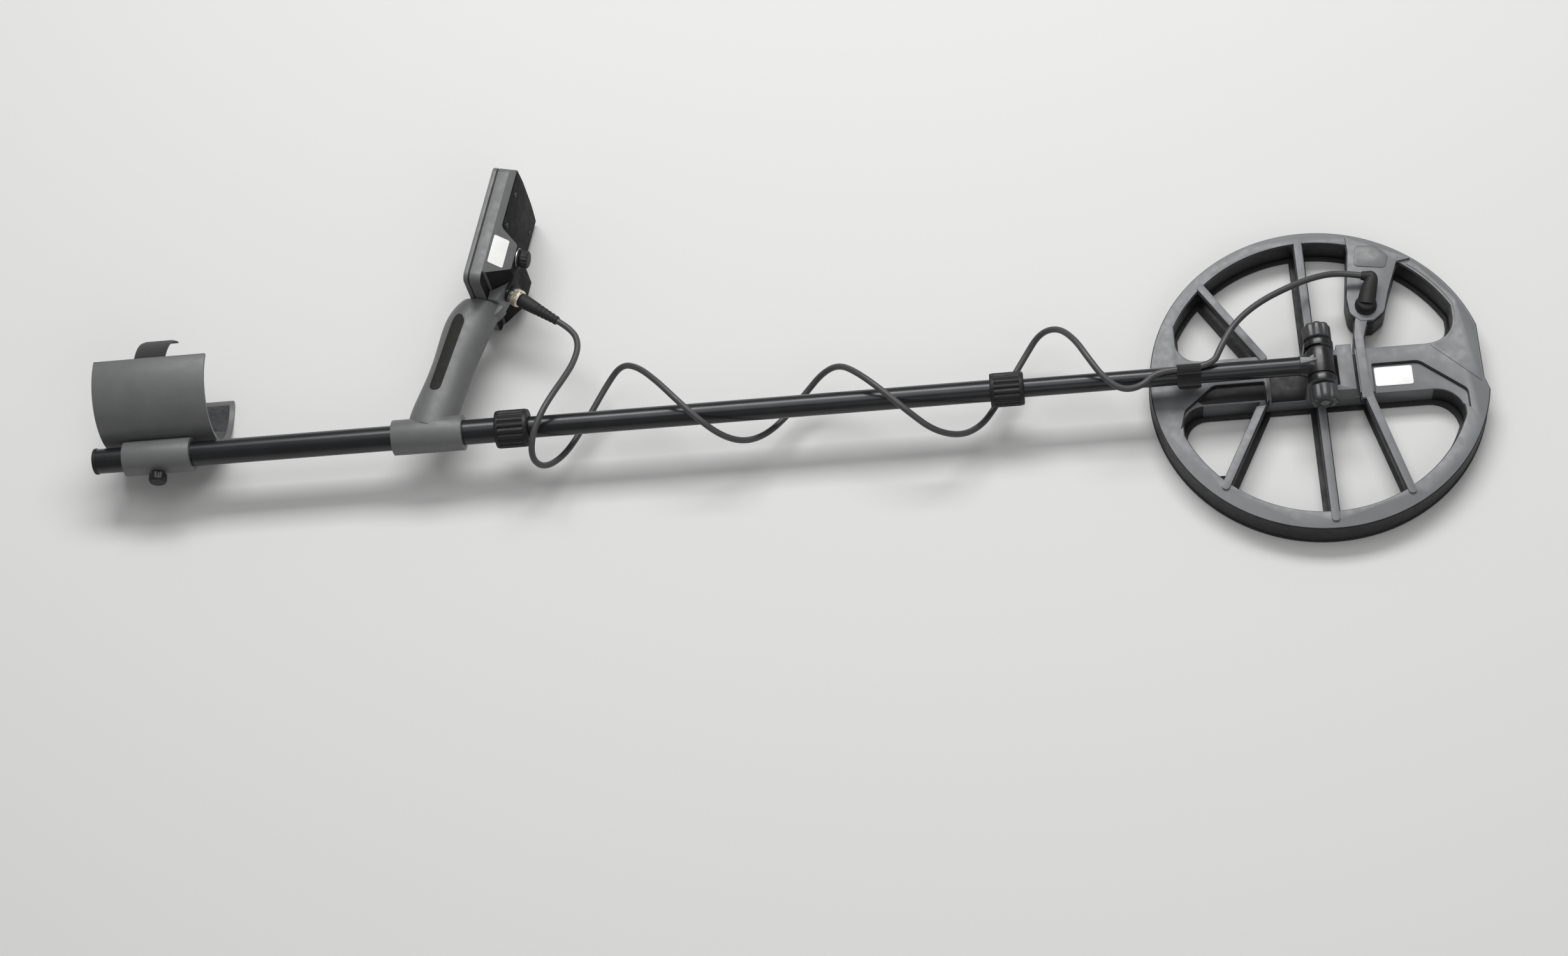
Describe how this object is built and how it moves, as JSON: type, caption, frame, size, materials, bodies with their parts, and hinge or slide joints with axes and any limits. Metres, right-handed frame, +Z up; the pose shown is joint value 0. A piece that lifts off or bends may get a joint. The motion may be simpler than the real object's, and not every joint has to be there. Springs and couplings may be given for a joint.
{
  "type": "metal detector",
  "caption": "Telescopic metal detector with an open round search coil, wrapped coil cable, pistol grip, control pod and armrest, lying on its side.",
  "frame": {"origin": "centre of the coil's flat underside, on the surface that the detector lies on", "axes": "+X along the shaft from the armrest to the coil's toe, +Y the way the grip points, +Z up through the coil"},
  "size_m": [1.21, 0.3891, 0.096],
  "materials": {
    "grey_plastic": "satin moulded",
    "dark_plastic": "fine matt",
    "black_tube": "satin anodised",
    "rubber": "matt",
    "steel": "brushed",
    "brass": "plated satin",
    "copper": "enamelled",
    "window": "clear",
    "label": "blank film",
    "board": "coated",
    "foam": "closed-cell foam with knit face",
    "webbing": "woven",
    "cable": "satin"
  },
  "bodies": {
    "handle_frame": {"upper_tube": "black_tube", "upper_end_cap": "dark_plastic", "upper_lock_ferrule": "dark_plastic", "upper_lock_collet": "dark_plastic", "grip_left_shell": "grey_plastic", "grip_right_shell": "grey_plastic", "grip_inlays": "rubber", "grip_screws": "steel", "pod_bezel": "grey_plastic", "pod_gasket": "rubber", "pod_housing": "grey_plastic", "display_window": "window", "lcd_panel": "board", "main_board": "board", "battery_cells": "dark_plastic", "speaker": "dark_plastic", "accessory_socket": "dark_plastic", "pod_screws": "steel", "side_label": "label", "socket_horn": "grey_plastic", "coil_socket": "dark_plastic", "plug_body": "dark_plastic", "plug_boot": "rubber", "cap_tether": "rubber", "cable_upper": "cable"},
    "plug_ring": {"plug_ring": "brass"},
    "dust_cap": {"dust_cap": "rubber"},
    "power_key": {"power_key": "rubber"},
    "armrest": {"armrest_cuff": "grey_plastic", "armrest_pad": "foam", "armrest_strap": "webbing"},
    "armrest_screw": {"armrest_screw": "dark_plastic"},
    "upper_collar": {"upper_lock_collar": "dark_plastic"},
    "middle_shaft": {"middle_tube": "black_tube", "lower_lock_ferrule": "dark_plastic", "cable_middle": "cable"},
    "lower_collar": {"lower_lock_collar": "dark_plastic"},
    "lower_collet": {"lower_lock_collet": "dark_plastic"},
    "lower_shaft": {"lower_tube": "black_tube", "lower_tube_bung": "dark_plastic", "rod_end": "grey_plastic", "cable_strap": "webbing", "cable_lower": "cable", "cable_coil": "cable"},
    "coil": {"coil_shell": "grey_plastic", "coil_skid_plate": "dark_plastic", "transmit_winding": "copper", "receive_winding": "copper", "coil_badge": "grey_plastic", "coil_label": "label", "coil_boot": "rubber", "hinge_washers": "rubber"},
    "hinge_knob": {"hinge_bolt": "grey_plastic", "hinge_knob": "grey_plastic"},
    "hinge_nut": {"hinge_nut": "grey_plastic"},
    "key_1": {"key_1": "rubber"},
    "key_2": {"key_2": "rubber"},
    "key_3": {"key_3": "rubber"},
    "key_4": {"key_4": "rubber"},
    "key_5": {"key_5": "rubber"}
  },
  "joints": [
    {"name": "middle_shaft_slide", "type": "slide", "parent": "handle_frame", "child": "middle_shaft", "axis": [1, 0, 0], "range_m": [-0.04, 0.1], "deforming": ["cable_upper", "cable_middle"]},
    {"name": "lower_shaft_turn", "type": "hinge", "parent": "middle_shaft", "child": "lower_collet", "pos_m": [-0.26, 0, 0.048], "axis": [1, 0, 0], "range_deg": [-90, 0], "deforming": ["cable_middle", "cable_lower"]},
    {"name": "lower_shaft_slide", "type": "slide", "parent": "lower_collet", "child": "lower_shaft", "axis": [1, 0, 0], "range_m": [0, 0.08], "deforming": ["cable_lower", "cable_coil"]},
    {"name": "coil_tilt", "type": "hinge", "parent": "lower_shaft", "child": "coil", "pos_m": [0, 0, 0.048], "axis": [0, -1, 0], "range_deg": [0, 110], "deforming": ["cable_coil"]},
    {"name": "lower_collar_twist", "type": "hinge", "parent": "middle_shaft", "child": "lower_collar", "pos_m": [-0.2655, 0, 0.048], "axis": [1, 0, 0], "range_deg": [-90, 0]},
    {"name": "upper_collar_twist", "type": "hinge", "parent": "handle_frame", "child": "upper_collar", "pos_m": [-0.6945, 0, 0.048], "axis": [1, 0, 0], "range_deg": [-90, 0]},
    {"name": "hinge_knob_turn", "type": "hinge", "parent": "coil", "child": "hinge_knob", "pos_m": [0, 0.0285, 0.048], "axis": [0, 1, 0], "range_deg": [0, 360]},
    {"name": "hinge_nut_turn", "type": "hinge", "parent": "coil", "child": "hinge_nut", "pos_m": [0, -0.0285, 0.048], "axis": [0, -1, 0], "range_deg": [0, 360]},
    {"name": "armrest_slide", "type": "slide", "parent": "handle_frame", "child": "armrest", "axis": [1, 0, 0], "range_m": [-0.02, 0.08]},
    {"name": "armrest_screw_turn", "type": "hinge", "parent": "armrest", "child": "armrest_screw", "pos_m": [-1.01, -0.018, 0.048], "axis": [0, 1, 0], "range_deg": [0, 360]},
    {"name": "plug_ring_turn", "type": "hinge", "parent": "handle_frame", "child": "plug_ring", "pos_m": [-0.6933, 0.1316, 0.048], "axis": [0.8, -0.6, 0], "range_deg": [0, 360]},
    {"name": "dust_cap_turn", "type": "hinge", "parent": "handle_frame", "child": "dust_cap", "pos_m": [-0.68559, 0.15734, 0.07], "axis": [0.9744, -0.225, 0], "range_deg": [0, 360]},
    {"name": "key_1_press", "type": "slide", "parent": "handle_frame", "child": "key_1", "axis": [0.9744, -0.225, 0], "range_m": [0, 0.001], "stiffness_N_per_m": 900},
    {"name": "key_2_press", "type": "slide", "parent": "handle_frame", "child": "key_2", "axis": [0.9744, -0.225, 0], "range_m": [0, 0.001], "stiffness_N_per_m": 900},
    {"name": "key_3_press", "type": "slide", "parent": "handle_frame", "child": "key_3", "axis": [0.9744, -0.225, 0], "range_m": [0, 0.001], "stiffness_N_per_m": 900},
    {"name": "key_4_press", "type": "slide", "parent": "handle_frame", "child": "key_4", "axis": [0.9744, -0.225, 0], "range_m": [0, 0.001], "stiffness_N_per_m": 900},
    {"name": "key_5_press", "type": "slide", "parent": "handle_frame", "child": "key_5", "axis": [0.9744, -0.225, 0], "range_m": [0, 0.001], "stiffness_N_per_m": 900},
    {"name": "power_key_press", "type": "slide", "parent": "handle_frame", "child": "power_key", "axis": [0.9744, -0.225, 0], "range_m": [0, 0.001], "stiffness_N_per_m": 900}
  ]
}
